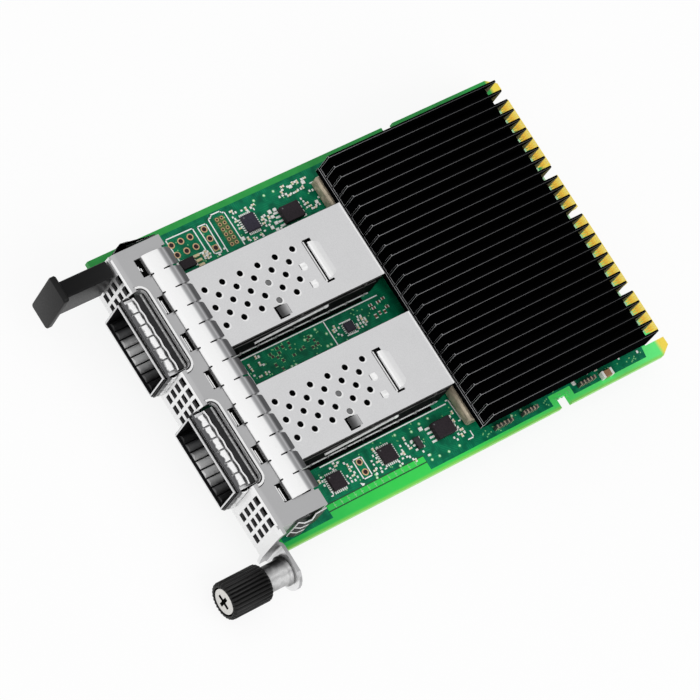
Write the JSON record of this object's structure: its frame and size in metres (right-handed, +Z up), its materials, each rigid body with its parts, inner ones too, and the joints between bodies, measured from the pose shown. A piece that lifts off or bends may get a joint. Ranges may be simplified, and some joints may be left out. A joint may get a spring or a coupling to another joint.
{
  "type": "mezzanine network card",
  "caption": "Mezzanine network card: green board with gold edge contacts, black finned heat sink, transceiver cages, sheet faceplate with spring fingers, pull tab and captive thumbscrew.",
  "frame": {"origin": "bottom centre of the bounding box, on the surface that the card lies on", "axes": "+X across the card towards the thumbscrew, +Y from the faceplate to the gold edge contacts, +Z up out of the component side"},
  "size_m": [0.0842, 0.1304, 0.0191],
  "materials": {
    "board_green": "green solder mask over glass laminate",
    "heat_sink_black": "black anodised, satin",
    "sheet_steel": "bright nickel-plated sheet",
    "spring_steel": "bright tin-plated spring sheet",
    "cage_steel": "plated thin sheet, semi-bright",
    "gasket_black": "black conductive foam",
    "socket_black": "black moulded polymer",
    "tab_black": "black moulded polymer, satin",
    "chip_black": "black moulded package",
    "crystal_metal": "drawn metal can",
    "capacitor_tan": "tan ceramic",
    "inductor_grey": "dark grey ceramic",
    "screw_steel": "plated screw steel",
    "pad_grey": "grey thermal pad"
  },
  "bodies": {
    "card": {"bracket_screw_left": "screw_steel", "bracket_screw_right": "screw_steel", "capacitor_rear": "capacitor_tan", "chip_left_memory": "chip_black", "chip_left_quad": "chip_black", "chip_left_small": "chip_black", "chip_middle": "chip_black", "chip_right_memory": "chip_black", "chip_right_quad_front": "chip_black", "chip_right_quad_rear": "chip_black", "chip_right_small": "chip_black", "circuit_board": "board_green", "controller_package": "chip_black", "crystal_left": "crystal_metal", "crystal_right": "crystal_metal", "faceplate": "sheet_steel", "finger_strip": "spring_steel", "heat_sink": "heat_sink_black", "heat_sink_screw_1": "screw_steel", "heat_sink_screw_2": "screw_steel", "heat_sink_screw_3": "screw_steel", "heat_sink_screw_4": "screw_steel", "port_1_cage": "cage_steel", "port_1_connector": "socket_black", "port_1_floor_spring": "spring_steel", "port_1_gasket": "gasket_black", "port_1_spring_frame": "spring_steel", "port_2_cage": "cage_steel", "port_2_connector": "socket_black", "port_2_floor_spring": "spring_steel", "port_2_gasket": "gasket_black", "port_2_spring_frame": "spring_steel", "pull_tab": "tab_black", "pull_tab_screw": "screw_steel", "resistor_pack_front": "inductor_grey", "resistor_pack_middle": "inductor_grey", "resistor_pack_rear": "inductor_grey", "side_spring_left": "spring_steel", "side_spring_right": "spring_steel", "thermal_pad": "pad_grey", "thumbscrew_ferrule": "screw_steel", "underside_capacitor_1": "capacitor_tan", "underside_capacitor_2": "capacitor_tan", "underside_capacitor_3": "capacitor_tan", "underside_chip": "chip_black"},
    "thumb_carrier": {"thumbscrew_washer": "screw_steel"},
    "thumb_knob": {"thumbscrew_knob": "tab_black", "thumbscrew_screw": "screw_steel"}
  },
  "joints": [
    {"name": "thumbscrew_press", "type": "slide", "parent": "card", "child": "thumb_carrier", "axis": [0, 1, 0], "range_m": [0, 0.004], "stiffness_N_per_m": 60, "springref_m": -0.004},
    {"name": "thumbscrew_turn", "type": "hinge", "parent": "thumb_carrier", "child": "thumb_knob", "pos_m": [0.0372, -0.05375, 0.0049], "axis": [0, 1, 0], "continuous": true}
  ]
}
